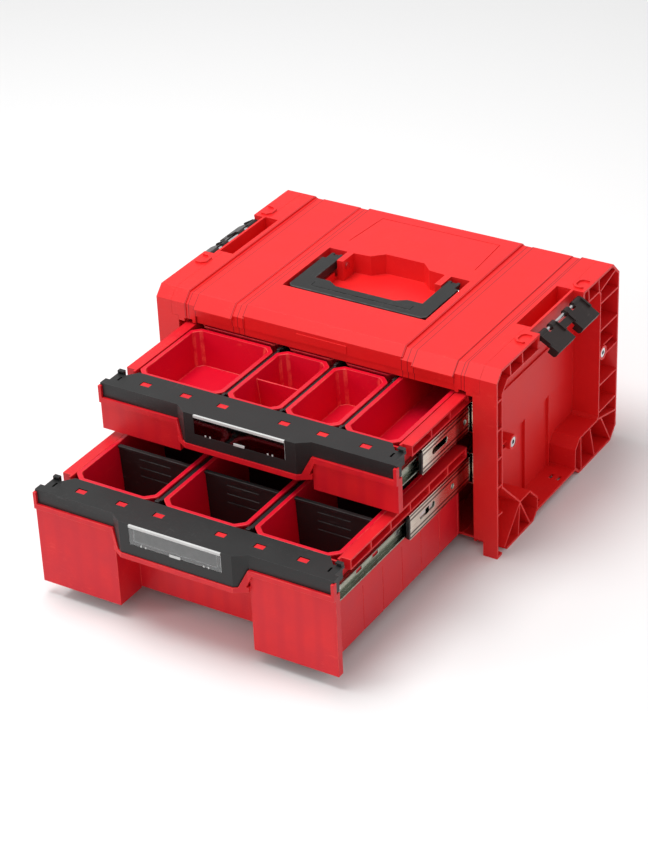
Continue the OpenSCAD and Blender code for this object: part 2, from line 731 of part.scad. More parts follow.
module drawer_bar_solid() {
    difference() {
        union() {
            difference() {
                prism_z(bar_outline(0), -bulge_h + fit, 0);
                prism_z(bar_outline(shell_t), -bulge_h - 1, -3);
            }
            // Walls round the snap lugs
            both_sides() for (x = window_x)
                box([x - 8, window_y - 6, -9], [x + 8, window_y + 6, -1]);
            // End hooks that catch the case when the drawer is shut
            both_sides() {
                box([hook_x - 8, 24, -3], [hook_x + 0.5, 31, 0]);
                box([hook_x - 8, 28.5, -3], [hook_x, 31, 4]);
                box([hook_x - 8, 26, 2.2], [hook_x, 31, 4]);
                box([hook_x - 1.5, 26, -1], [hook_x, 31, 4]);
            }
        }
        both_sides() {
            // The ends of the bar are lower than its middle, and leave room for the ears
            box([hollow_x - eps, -20, -bulge_h - 1], [front_w, hollow_d, -bar_h + fit]);
            prism_y([[hollow_x - 10, -bulge_h - 1], [hollow_x + 1, -bulge_h - 1],
                     [hollow_x + 1, -bar_h + fit], [hollow_x, -bar_h + fit],
                     [hollow_x - 10, -bulge_h + fit]], -20, hollow_d);
            box([drawer_x - 0.5, 12.5, -bar_h], [front_w, hollow_d, -slide_drop + slide_h / 2 + 1.5]);
            box([front_w / 2 - 4 - fit, -20, -bulge_h], [front_w, front_t + fit, -3 + fit]);
            for (x = window_x)
                box([x - 6.3, window_y - 4.3, -10], [x + 6.3, window_y + 4.3, 1]);
            box([drawer_x + 1, 13, -4], [drawer_x + 3.5, 22, 1]);
        }
        // Seat of the label window
        box([-label_w / 2 - fit, -bulge_d - 1, -label_h - 1 - fit], [label_w / 2 + fit, -bulge_d + 1.5, 1]);
        box([-label_w / 2 + 5, -bulge_d - 1, -label_h + 3], [label_w / 2 - 5, -bulge_d + 2, -4]);
    }
}

// Clear window with its catch in the middle of the lower edge
module label_window_solid() {
    union() {
        box([-label_w / 2, -bulge_d, -label_h - 1], [label_w / 2, -bulge_d + 1.5, -0.3]);
        box([-label_w / 2, -bulge_d - 1, -3.5], [label_w / 2, -bulge_d + 1, -0.3]);
        box([-7, -bulge_d - 1.2, -label_h - 1], [7, -bulge_d + 1, -label_h + 2]);
        for (x = [-45, -39, 36, 42])
            box([x, -bulge_d - 0.6, -label_h - 1], [x + 2, -bulge_d + 1, -label_h + 1.5]);
    }
}

upper_foot = 11;
lower_foot = 2;

module at_upper() {
    translate([0, -half_d - upper_out, upper_top]) children();
}

module at_lower() {
    translate([0, -half_d - lower_out, lower_top]) children();
}

module upper_drawer_shell() {
    color(red) at_upper() drawer_shell_solid(upper_h, upper_foot);
}

module lower_drawer_shell() {
    // Upright grooves along the sides below the slides
    color(red) at_lower() difference() {
        drawer_shell_solid(lower_h, lower_foot);
        both_sides() for (y = [84 : 42 : drawer_l - 5])
            box([drawer_x - 0.6, y, -lower_h], [drawer_x + 1, y + 1.2, -slide_drop - slide_h / 2 - 6]);
    }
}

// Bins

// Tapered bin with a rim, its rim's top at z = 0, from y = 0 to l, in the middle of x = 0
module bin_solid(w, l, h, taper, cham) {
    rim = 3;
    module block(grow, z0, z1) {
        hull() {
            translate([0, l / 2, z0]) linear_extrude(eps)
                polygon(cut_rect(w - 2 * (rim + taper) + 2 * grow, l - 2 * (rim + taper) + 2 * grow, cham));
            translate([0, l / 2, z1 - eps]) linear_extrude(eps)
                polygon(cut_rect(w - 2 * rim + 2 * grow, l - 2 * rim + 2 * grow, cham));
        }
    }
    difference() {
        union() {
            block(0, -h, -1);
            translate([0, l / 2, 0]) prism_z(cut_rect(w, l, cham + 2), -2.5, 0);
        }
        block(-bin_t, -h + bin_t, 1);
    }
}

gap_w = 8;
upper_rim = -2;
lower_rim = -1;
upper_floor_z = -upper_h + upper_foot + shell_t + 0.1;
lower_floor_z = -lower_h + lower_foot + shell_t + 0.1;
upper_bin_h = upper_rim - upper_floor_z;
lower_bin_h = lower_rim - lower_floor_z;
wide_x = -tray_x + 2 + wide_bin_w / 2;
narrow_a_x = wide_x + wide_bin_w / 2 + gap_w + narrow_bin_w / 2;
narrow_b_x = narrow_a_x + narrow_bin_w + gap_w;
long_x = narrow_b_x + narrow_bin_w + gap_w;
row_y = bin_y + short_bin_l + 6;
long_bin_l = drawer_l - shell_t - 2 - bin_y;
rear_bin_l = long_bin_l - short_bin_l - 6;

module upper_bin(x, y, w, l) {
    at_upper() translate([x, y, upper_rim]) bin_solid(w, l, upper_bin_h, 5, 7);
}

module wide_bin() {
    color(red) upper_bin(wide_x, bin_y, wide_bin_w, short_bin_l);
}

module narrow_bin_divided() {
    half = narrow_bin_w / 2;
    color(red) union() {
        upper_bin(narrow_a_x, bin_y, narrow_bin_w, short_bin_l);
        at_upper() translate([narrow_a_x, bin_y + short_bin_l / 2, upper_rim])
            prism_y([[9 - half, 1 - upper_bin_h], [half - 9, 1 - upper_bin_h],
                     [half - 4.5, -6], [4.5 - half, -6]], -1, 1);
    }
}

module narrow_bin_plain() {
    color(red) upper_bin(narrow_b_x, bin_y, narrow_bin_w, short_bin_l);
}

module long_bin() {
    color(red) upper_bin(long_x, bin_y, narrow_bin_w, long_bin_l);
}

module rear_wide_bin() {
    color(red) upper_bin(wide_x, row_y, wide_bin_w, rear_bin_l);
}

module rear_narrow_bin_left() {
    color(red) upper_bin(narrow_a_x, row_y, narrow_bin_w, rear_bin_l);
}

module rear_narrow_bin_right() {
    color(red) upper_bin(narrow_b_x, row_y, narrow_bin_w, rear_bin_l);
}

// Partition between bins from the tray's floor up, with a cap, and clips at the front and behind
module rail_solid(x, w, rim, base, clip_y) {
    front = hollow_d + shell_t + 0.1;
    rear = drawer_l - shell_t - 0.1;
    box([x - w / 2, front, rim - 5], [x + w / 2, rear, rim - 2]);
    box([x - 1, front, base], [x + 1, rear, rim - 4]);
    for (y = [front, clip_y])
        box([x - w / 2, y, rim - 5], [x + w / 2, y + 6, rim]);
}

module upper_bin_rails() {
    color(black) at_upper() for (x = [wide_x + wide_bin_w / 2, narrow_a_x + narrow_bin_w / 2,
                                      narrow_b_x + narrow_bin_w / 2])
        rail_solid(x + gap_w / 2, gap_w - 1, upper_rim, upper_floor_z, row_y - 8);
}

deep_gap = (2 * tray_x - 4 - 3 * deep_bin_w) / 2;

module deep_bin(i) {
    color(red) at_lower() translate([i * (deep_bin_w + deep_gap), bin_y, lower_rim])
        bin_solid(deep_bin_w, long_bin_l, lower_bin_h, 6, 9);
}

module lower_bin_rails() {
    color(black) at_lower() for (s = [-1, 1])
        rail_solid(s * (deep_bin_w + deep_gap) / 2, deep_gap - 1, lower_rim, lower_floor_z, drawer_l - 10);
}

// Dividers of one deep bin, narrowing downward with the bin's walls
module dividers(i) {
    top_w = deep_bin_w / 2 - 3 - bin_t - 0.6;
    low_w = top_w - 5.6;
    color(black) at_lower() translate([i * (deep_bin_w + deep_gap), bin_y, lower_rim])
        for (y = [divider_y, divider_y + 82]) difference() {
            union() {
                prism_y([[-low_w, -lower_bin_h + bin_t + 3], [low_w, -lower_bin_h + bin_t + 3],
                         [top_w, -6], [top_w, -2], [-top_w, -2], [-top_w, -6]], y, y + 2);
                box([-top_w, y - 1.5, -5], [top_w, y + 3.5, -2]);
            }
            for (k = [0:2])
                box([-20, y - 0.5, -22 - k * 11], [20, y + 0.8, -20.8 - k * 11]);
        }
}

module lower_label_card() {
    color("#8d8d8c") at_lower()
        box([-label_w / 2 + 6, -bulge_d + 1.5, -label_h + 4], [label_w / 2 - 6, -bulge_d + 1.9, -5]);
}

// Ball bearing slides. Each is drawn for the right, with u = 0 at the case's inner face and growing
// inward, z = 0 at its middle line, and y = 0 at its front end.

outer_t = 1.5;
middle_u = 3;
middle_h = 32;
middle_flange = 2.4;
inner_h = 20;
inner_flange = 1.6;
ball_u = 7.5;
outer_ball_z = (slide_h / 2 - 1.7 + middle_h / 2) / 2;
inner_ball_z = (middle_h / 2 - middle_flange + inner_h / 2) / 2;
race = 0.05;
slide_set = 14;
ball_count = 5;
ball_step = 16;
screw_r = 1.9;
screw_head_r = 3.4;
screw_ys = [20, slide_l / 2, slide_l - 20];

// A slide's own frame: x is u
module at_slide(top, y) {
    translate([inner_x, -half_d + slide_set - y, top - slide_drop]) mirror([1, 0, 0]) children();
}

// Four grooves along a member, two up and two down
module races(z) {
    for (s = [-1, 1])
        translate([ball_u, -1, s * z]) rotate([-90, 0, 0]) cylinder(r = ball_r + race, h = slide_l + 2);
}

module outer_member() {
    difference() {
        union() {
            box([0, 0, -slide_h / 2], [outer_t, slide_l, slide_h / 2]);
            for (s = [-1, 1])
                box([0, 0, s > 0 ? slide_h / 2 - 1.7 : -slide_h / 2],
                    [10.5, slide_l, s > 0 ? slide_h / 2 : -slide_h / 2 + 1.7]);
        }
        races(outer_ball_z);
        for (y = screw_ys) {
            rod_x(screw_r + fit, -1, outer_t + 1, y, 0);
            rod_x(screw_head_r + fit, outer_t - 1.15, outer_t + 1, y, 0);
        }
        for (y = [50, slide_l - 60])
            box([-1, y, -3], [outer_t + 1, y + 24, 3]);
    }
}

module middle_member() {
    difference() {
        union() {
            box([middle_u, 0, -middle_h / 2], [middle_u + outer_t, slide_l, middle_h / 2]);
            for (s = [-1, 1])
                box([middle_u, 0, s > 0 ? middle_h / 2 - middle_flange : -middle_h / 2],
                    [11, slide_l, s > 0 ? middle_h / 2 : -middle_h / 2 + middle_flange]);
        }
        races(outer_ball_z);
        races(inner_ball_z);
        // Long slot behind the front guide, and the working holes along the web
        box([0, 26, -3], [middle_u + 2, 52, 5]);
        for (y = [26, 52])
            rod_x(4, 0, middle_u + 2, y, 1);
        for (y = [96 : 64 : slide_l - 20])
            rod_x(3.5, 0, middle_u + 2, y, 0);
    }
}

module inner_member() {
    difference() {
        union() {
            box([slide_t - outer_t, 0, -inner_h / 2], [slide_t, slide_l, inner_h / 2]);
            for (s = [-1, 1])
                box([6.3, 0, s > 0 ? inner_h / 2 - inner_flange : -inner_h / 2],
                    [slide_t, slide_l, s > 0 ? inner_h / 2 : -inner_h / 2 + inner_flange]);
        }
        races(inner_ball_z);
        for (y = screw_ys) {
            rod_x(screw_r + fit, 0, slide_t + 1, y, 0);
            rod_x(screw_head_r + fit, 0, slide_t - outer_t + 1.15, y, 0);
        }
        for (y = [56, 90, slide_l - 70])
            box([slide_t - 2, y, -2.5], [slide_t + 1, y + 12, 2.5]);
    }
}

// Black guide in the front end of a middle member, with its release tongue
module slide_guide_solid() {
    u0 = middle_u + outer_t;
    u1 = 6;
    h = middle_h / 2 - middle_flange - fit;
    difference() {
        union() {
            box([u0, 0, -h], [u1, 22, h]);
            box([u0 - outer_t - 0.5, -3, -h], [u1, 0, h]);
            box([u0 - outer_t - 0.8, -3, -1], [u0, 0, 9]);
        }
        box([0, 6, -6], [u1 + 1, 18, -3]);
    }
}

// Ball cage: a thin channel round the web, with a row of balls above and below
module cage(u0, z) {
    t = 0.8;
    length = ball_step * ball_count;
    difference() {
        union() {
            box([u0, 0, -z - t / 2], [u0 + t, length, z + t / 2]);
            for (s = [-1, 1])
                box([u0, 0, s * z - t / 2], [ball_u + 2.4, length, s * z + t / 2]);
        }
        for (s = [-1, 1]) for (i = [0 : ball_count - 1])
            translate([ball_u, ball_step * (i + 0.5), s * z]) sphere(r = ball_r + race);
        for (i = [0 : ball_count - 2])
            box([u0 - 1, ball_step * (i + 0.5) + 4, -4], [u0 + 2, ball_step * (i + 1.5) - 4, 4]);
    }
    for (s = [-1, 1]) for (i = [0 : ball_count - 1])
        translate([ball_u, ball_step * (i + 0.5), s * z]) sphere(r = ball_r);
}

// Screw along u, from its head at u0 to its end at u1
module screw(u0, u1, y) {
    translate([u0, y, 0]) rotate([0, sign(u1 - u0) * 90, 0]) {
        cylinder(r = screw_head_r, h = 1);
        cylinder(r = screw_r, h = abs(u1 - u0));
    }
}

module slide_screws_case() {
    color(steel) both_sides() for (top = [upper_top, lower_top])
        at_slide(top, 0) for (y = screw_ys) screw(outer_t - 0.1, -2.4, y);
}

module slide_screws_upper() {
    color(steel) both_sides() at_slide(upper_top, upper_out)
        for (y = screw_ys) screw(slide_t - outer_t + 0.1, slide_t + 2.3, y);
}

module slide_screws_lower() {
    color(steel) both_sides() at_slide(lower_top, lower_out)
        for (y = screw_ys) screw(slide_t - outer_t + 0.1, slide_t + 2.3, y);
}

cage_y = (slide_l - ball_step * ball_count) / 2;

module slide_piece(side, top, y) {
    on_side(side) at_slide(top, y) children();
}

module upper_drawer_bar() {
    color(black) at_upper() drawer_bar_solid();
}

module lower_drawer_bar() {
    color(black) at_lower() drawer_bar_solid();
}

module upper_label_window() {
    color(glass, 0.5) at_upper() label_window_solid();
}

module lower_label_window() {
    color(glass, 0.5) at_lower() label_window_solid();
}

// The members of one slide: side is -1 or 1, top the height of its drawer's bar
module outer_slide(side, top) {
    color(zinc) slide_piece(side, top, 0) outer_member();
}

module middle_slide(side, top, out) {
    color(zinc) slide_piece(side, top, out) middle_member();
}

module slide_guide(side, top, out) {
    color(black) slide_piece(side, top, out) slide_guide_solid();
}

module inner_slide(side, top, out) {
    color(zinc) slide_piece(side, top, out) inner_member();
}

module outer_cage(side, top, out) {
    color(steel) slide_piece(side, top, out) translate([0, cage_y, 0]) cage(1.8, outer_ball_z);
}

module inner_cage(side, top, out) {
    color(steel) slide_piece(side, top, out) translate([0, cage_y, 0]) cage(4.9, inner_ball_z);
}

upper_mid = upper_out * upper_share;
lower_mid = lower_out * lower_share;

top_cover();
side_frame(-1);  // side_frame_left
side_frame(1);  // side_frame_right
back_panel();
base_plate();
frame_bolts();
carry_handle();
handle_pins();
side_latch(-1);  // side_latch_left
side_latch(1);  // side_latch_right
latch_pins();
upper_drawer_shell();
upper_drawer_bar();
upper_label_window();
upper_bin_rails();
wide_bin();
narrow_bin_divided();
narrow_bin_plain();
long_bin();
rear_wide_bin();
rear_narrow_bin_left();
rear_narrow_bin_right();
lower_drawer_shell();
lower_drawer_bar();
lower_label_window();
lower_label_card();
lower_bin_rails();
deep_bin(-1);  // deep_bin_left
deep_bin(0);  // deep_bin_middle
deep_bin(1);  // deep_bin_right
dividers(-1);  // dividers_left
dividers(0);  // dividers_middle
dividers(1);  // dividers_right
slide_screws_case();
slide_screws_upper();
slide_screws_lower();
outer_slide(-1, upper_top);  // outer_slide_upper_left
outer_slide(1, upper_top);  // outer_slide_upper_right
outer_slide(-1, lower_top);  // outer_slide_lower_left
outer_slide(1, lower_top);  // outer_slide_lower_right
middle_slide(-1, upper_top, upper_mid);  // middle_slide_upper_left
middle_slide(1, upper_top, upper_mid);  // middle_slide_upper_right
middle_slide(-1, lower_top, lower_mid);  // middle_slide_lower_left
middle_slide(1, lower_top, lower_mid);  // middle_slide_lower_right
slide_guide(-1, upper_top, upper_mid);  // slide_guide_upper_left
slide_guide(1, upper_top, upper_mid);  // slide_guide_upper_right
slide_guide(-1, lower_top, lower_mid);  // slide_guide_lower_left
slide_guide(1, lower_top, lower_mid);  // slide_guide_lower_right
inner_slide(-1, upper_top, upper_out);  // inner_slide_upper_left
inner_slide(1, upper_top, upper_out);  // inner_slide_upper_right
inner_slide(-1, lower_top, lower_out);  // inner_slide_lower_left
inner_slide(1, lower_top, lower_out);  // inner_slide_lower_right
outer_cage(-1, upper_top, upper_mid / 2);  // outer_cage_upper_left
outer_cage(1, upper_top, upper_mid / 2);  // outer_cage_upper_right
outer_cage(-1, lower_top, lower_mid / 2);  // outer_cage_lower_left
outer_cage(1, lower_top, lower_mid / 2);  // outer_cage_lower_right
inner_cage(-1, upper_top, (upper_mid + upper_out) / 2);  // inner_cage_upper_left
inner_cage(1, upper_top, (upper_mid + upper_out) / 2);  // inner_cage_upper_right
inner_cage(-1, lower_top, (lower_mid + lower_out) / 2);  // inner_cage_lower_left
inner_cage(1, lower_top, (lower_mid + lower_out) / 2);  // inner_cage_lower_right
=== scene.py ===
# Looks of the portable tool box with drawers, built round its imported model.
import json
import math

import bmesh
import bpy
from mathutils import Matrix, Vector


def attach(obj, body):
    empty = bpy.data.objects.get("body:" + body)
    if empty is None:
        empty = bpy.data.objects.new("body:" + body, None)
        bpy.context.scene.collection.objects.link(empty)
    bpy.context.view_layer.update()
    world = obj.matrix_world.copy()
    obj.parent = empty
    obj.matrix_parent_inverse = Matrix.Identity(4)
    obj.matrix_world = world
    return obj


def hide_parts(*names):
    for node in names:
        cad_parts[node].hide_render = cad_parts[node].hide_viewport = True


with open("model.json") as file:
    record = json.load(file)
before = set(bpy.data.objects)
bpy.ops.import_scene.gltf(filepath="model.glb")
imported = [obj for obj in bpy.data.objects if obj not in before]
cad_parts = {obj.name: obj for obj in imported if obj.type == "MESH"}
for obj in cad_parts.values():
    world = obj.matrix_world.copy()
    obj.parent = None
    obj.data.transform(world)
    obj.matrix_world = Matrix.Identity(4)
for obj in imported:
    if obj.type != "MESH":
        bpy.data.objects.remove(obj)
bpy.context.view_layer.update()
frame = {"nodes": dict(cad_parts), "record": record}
nodes = frame["nodes"]
bodyOf = {n: body for body, names in frame["record"]["behaviour"]["bodies"].items() for n in names}
slotOf = {p["node"]: p["material_slot"] for p in frame["record"]["subparts"]}
scene = bpy.context.scene

# Camera, from the photograph's angle
camera = {
    "azimuth": 32.5622,
    "elevation": 30.9972,
    "distance": 3.107187,
    "aim": (-0.099516, 0.0, -0.004015),
    "roll": -2.598,
    "focal": 2501.55,   # in pixels of the 864 pixel high frame
    "frameHeight": 864,
    "sensor": 36,       # in millimetres
    "clipEnd": 100,
}


def makeCamera(c):
    azimuth, elevation, roll = (math.radians(c[k]) for k in ("azimuth", "elevation", "roll"))
    back = Vector((math.sin(azimuth) * math.cos(elevation),
                   -math.cos(azimuth) * math.cos(elevation), math.sin(elevation)))
    right = Vector((math.cos(azimuth), math.sin(azimuth), 0))
    down = -back.cross(right)
    turnedRight = math.cos(roll) * right - math.sin(roll) * down
    turnedDown = math.sin(roll) * right + math.cos(roll) * down
    place = Matrix((turnedRight, -turnedDown, back)).transposed().to_4x4()
    place.translation = Vector(c["aim"]) + c["distance"] * back
    data = bpy.data.cameras.new("camera")
    data.sensor_width = c["sensor"]
    data.lens = c["focal"] / c["frameHeight"] * c["sensor"]
    data.clip_end = c["clipEnd"]
    made = bpy.data.objects.new("camera", data)
    made.matrix_world = place
    scene.collection.objects.link(made)
    scene.camera = made


makeCamera(camera)
print("camera placed")

# Floor, light and surroundings
studio = {
    "floorColor": (0.80, 0.80, 0.80, 1),
    "floorRoughness": 0.9,
    "floorSize": 14,
    "skyColor": (1, 1, 1, 1),
    "skyStrength": 0.68,
    "lights": {   # place, aim, size, power
        "topLight": ((-0.5, -0.4, 2.4), (0, -0.1, 0.1), 1.5, 48),
        "frontLight": ((-2.4, -2.6, 1.5), (0, -0.15, 0.1), 1.2, 20),
    },
}


def makeStudio(s):
    world = bpy.data.worlds.new("studio")
    world.use_nodes = True
    sky = world.node_tree.nodes["Background"]
    sky.inputs["Color"].default_value = s["skyColor"]
    sky.inputs["Strength"].default_value = s["skyStrength"]
    scene.world = world
    for name, (place, aim, size, power) in s["lights"].items():
        data = bpy.data.lights.new(name, "AREA")
        data.shape = "DISK"
        data.size = size
        data.energy = power
        lamp = bpy.data.objects.new(name, data)
        lamp.location = place
        lamp.rotation_euler = (Vector(aim) - Vector(place)).to_track_quat("-Z", "Y").to_euler()
        scene.collection.objects.link(lamp)
    bm = bmesh.new()
    bmesh.ops.create_grid(bm, x_segments=2, y_segments=2, size=s["floorSize"] / 2)
    floor = pieceFrom(bm, "studio_floor")
    paint = bpy.data.materials.new("floorPaint")
    paint.use_nodes = True
    surface = paint.node_tree.nodes["Principled BSDF"]
    surface.inputs["Base Color"].default_value = s["floorColor"]
    surface.inputs["Roughness"].default_value = s["floorRoughness"]
    floor.data.materials.append(paint)


def pieceFrom(bm, name):
    mesh = bpy.data.meshes.new(name)
    bm.to_mesh(mesh)
    bm.free()
    made = bpy.data.objects.new(name, mesh)
    scene.collection.objects.link(made)
    return made


makeStudio(studio)
scene.view_settings.view_transform = "Standard"
print("studio lit")


# Shader groups
def newGroup(name, inputs, outputs):
    group = bpy.data.node_groups.new(name, "ShaderNodeTree")
    for label, value in inputs.items():
        socket = group.interface.new_socket(label, in_out="INPUT", socket_type="NodeSocketFloat")
        socket.default_value = value
    for label in outputs:
        group.interface.new_socket(label, in_out="OUTPUT", socket_type="NodeSocketFloat")
    start = group.nodes.new("NodeGroupInput")
    end = group.nodes.new("NodeGroupOutput")
    return group, start, end


def addNode(tree, kind, links=None, **values):
    made = tree.nodes.new(kind)
    for key, value in values.items():
        setattr(made, key, value)
    for key, value in (links or {}).items():
        if hasattr(value, "is_output"):
            tree.links.new(value, made.inputs[key])
        else:
            made.inputs[key].default_value = value
    return made


def mathNode(tree, operation, a, b=0.0, clamp=False):
    return addNode(tree, "ShaderNodeMath", {0: a, 1: b}, operation=operation, use_clamp=clamp).outputs[0]


def objectNoise(tree, scale, detail=2.0, roughness=0.5, stretch=None):
    place = addNode(tree, "ShaderNodeTexCoord").outputs["Object"]
    if stretch:
        place = addNode(tree, "ShaderNodeMapping", {"Vector": place, "Scale": stretch}).outputs["Vector"]
    return addNode(tree, "ShaderNodeTexNoise",
                   {"Vector": place, "Scale": scale, "Detail": detail, "Roughness": roughness}).outputs[0]


def mapRange(tree, value, low, high, toLow=0.0, toHigh=1.0):
    return addNode(tree, "ShaderNodeMapRange",
                   {"Value": value, "From Min": low, "From Max": high, "To Min": toLow,
                    "To Max": toHigh}).outputs[0]


def blendTwo(tree, one, other, share):
    # Weighted sum of two values
    return mathNode(tree, "ADD", mathNode(tree, "MULTIPLY", one, share),
                    mathNode(tree, "MULTIPLY", other, 1 - share))


mouldGrain = {   # noises as scale (where it isn't an input), detail and roughness
    "inputs": {"Grain Scale": 1800, "Mottle Scale": 22},
    "fine": (3, 0.65),
    "coarse": (4, 0.6),
    "wide": (5.0, 2, 0.5),
    "coarseInMottle": 0.6,
    "fineInShine": 0.5,
    "range": (0.3, 0.7),
}


def makeMouldGrain(g):
    # Fine eroded grain of a mould, with slow mottling over it
    group, start, end = newGroup("mouldGrain", g["inputs"], ["Height", "Mottle", "Shine"])
    fine = objectNoise(group, start.outputs["Grain Scale"], *g["fine"])
    coarse = objectNoise(group, start.outputs["Mottle Scale"], *g["coarse"])
    wide = objectNoise(group, *g["wide"])
    group.links.new(fine, end.inputs["Height"])
    mottle = blendTwo(group, coarse, wide, g["coarseInMottle"])
    group.links.new(mapRange(group, mottle, *g["range"]), end.inputs["Mottle"])
    shine = blendTwo(group, fine, coarse, g["fineInShine"])
    group.links.new(mapRange(group, shine, *g["range"]), end.inputs["Shine"])
    return group


edgeWearAndHighlight = {
    "inputs": {"Amount": 0.5, "Break Up Scale": 90},
    "breakUp": (5, 0.7),
    "range": (0.38, 0.62),
}


def makeEdgeWearAndHighlight(g):
    # Lighter edges, partly wear and partly painted highlight: the piece's own edge strips, broken up by
    # noise
    group, start, end = newGroup("edgeWearAndHighlight", g["inputs"], ["Mask"])
    edge = addNode(group, "ShaderNodeAttribute", attribute_name="edge").outputs["Fac"]
    noise = objectNoise(group, start.outputs["Break Up Scale"], *g["breakUp"])
    broken = mapRange(group, noise, *g["range"])
    mask = mathNode(group, "MULTIPLY", mathNode(group, "MULTIPLY", edge, broken),
                    start.outputs["Amount"], True)
    group.links.new(mask, end.inputs["Mask"])
    return group


scuffs = {
    "inputs": {"Amount": 0.3, "Scale": 60},
    "streak": (2, 0.5),
    "stretches": ((1, 14, 3), (13, 1, 5), (3, 6, 14)),
    "streakRange": (0.64, 0.70),
    "patch": (14, 2, 0.5),
    "patchRange": (0.5, 0.62),
}


def makeScuffs(g):
    # Faint hairlines that run every way, gathered in patches
    group, start, end = newGroup("scuffs", g["inputs"], ["Mask"])
    lines = []
    for stretch in g["stretches"]:
        streak = objectNoise(group, start.outputs["Scale"], *g["streak"], stretch)
        lines.append(mapRange(group, streak, *g["streakRange"]))
    most = mathNode(group, "MAXIMUM", mathNode(group, "MAXIMUM", lines[0], lines[1]), lines[2])
    patch = mapRange(group, objectNoise(group, *g["patch"]), *g["patchRange"])
    mask = mathNode(group, "MULTIPLY", mathNode(group, "MULTIPLY", most, patch),
                    start.outputs["Amount"], True)
    group.links.new(mask, end.inputs["Mask"])
    return group


sinkBands = {
    "inputs": {"Pitch": 0.024, "Amount": 0.5},
    "wobble": (30, 1, 0.5, (1, 1, 0.08)),
    "wobbleReach": 0.006,
    "range": (-0.2, 0.9),
}


def makeSinkBands(g):
    # Upright bands that ribs behind a moulded wall leave in its colour
    group, start, end = newGroup("sinkBands", g["inputs"], ["Mask"])
    place = addNode(group, "ShaderNodeTexCoord").outputs["Object"]
    across = addNode(group, "ShaderNodeSeparateXYZ", {0: place}).outputs["X"]
    wobble = mathNode(group, "MULTIPLY", objectNoise(group, *g["wobble"]), g["wobbleReach"])
    phase = mathNode(group, "DIVIDE", mathNode(group, "ADD", across, wobble), start.outputs["Pitch"])
    wave = mathNode(group, "SINE", mathNode(group, "MULTIPLY", phase, 2 * math.pi))
    mask = mathNode(group, "MULTIPLY", mapRange(group, wave, *g["range"]), start.outputs["Amount"])
    group.links.new(mask, end.inputs["Mask"])
    return group


coverShadeLines = {   # painted shade: dark lines at the edges of the cover's fields, in metres from the middle
    "axis": "X",
    "middles": (0.0,),
    "places": (0.1050, 0.1125, 0.1203, 0.1715, 0.1805, 0.1850),
    "width": 0.0007,
    "core": 0.0003,
}
raceShadeLines = {   # painted shade lines for the slides' rolled grooves, in metres above and below each slide's middle
    "axis": "Z",
    "middles": (0.103, 0.170),
    "places": (0.0088, 0.0138, 0.0178),
    "width": 0.0016,
    "core": 0.0008,
}


def makeLines(name, g):
    # Masks of painted shade lines: thin lines at set distances either side of one or more middles, along one
    # axis
    group, start, end = newGroup(name, {"Amount": 0.7}, ["Mask"])
    place = addNode(group, "ShaderNodeTexCoord").outputs["Object"]
    across = addNode(group, "ShaderNodeSeparateXYZ", {0: place}).outputs[g["axis"]]
    aside = 1.0
    for middle in g["middles"]:
        off = mathNode(group, "ABSOLUTE", mathNode(group, "SUBTRACT", across, middle))
        aside = mathNode(group, "MINIMUM", aside, off)
    most = 0.0
    for line in g["places"]:
        off = mathNode(group, "ABSOLUTE", mathNode(group, "SUBTRACT", aside, line))
        most = mathNode(group, "MAXIMUM", most, mapRange(group, off, g["width"], g["core"]))
    group.links.new(mathNode(group, "MULTIPLY", most, start.outputs["Amount"]), end.inputs["Mask"])
    return group


groups = {
    "mouldGrain": makeMouldGrain(mouldGrain),
    "edgeWearAndHighlight": makeEdgeWearAndHighlight(edgeWearAndHighlight),
    "scuffs": makeScuffs(scuffs),
    "sinkBands": makeSinkBands(sinkBands),
    "coverShadeLines": makeLines("coverShadeLines", coverShadeLines),
    "raceShadeLines": makeLines("raceShadeLines", raceShadeLines),
}
print("shader groups made:", len(groups))


def useGroup(tree, name, **values):
    made = tree.nodes.new("ShaderNodeGroup")
    made.node_tree = groups[name]
    for key, value in values.items():
        made.inputs[key.replace("_", " ")].default_value = value
    return made


def mixColor(tree, factor, a, b):
    # In its colour form the Mix node's sockets are 0, 6 and 7, and its result is 2
    return addNode(tree, "ShaderNodeMix", {0: factor, 6: a, 7: b}, data_type="RGBA").outputs[2]


def bumpInto(tree, surface, strength, distance, height):
    bump = addNode(tree, "ShaderNodeBump", {"Strength": strength, "Distance": distance, "Height": height})
    tree.links.new(bump.outputs[0], surface.inputs["Normal"])


def newMaterial(name, **sockets):
    made = bpy.data.materials.new(name)
    made.use_nodes = True
    surface = made.node_tree.nodes["Principled BSDF"]
    for key, value in sockets.items():
        surface.inputs[key.replace("_", " ")].default_value = value
    return made, made.node_tree, surface


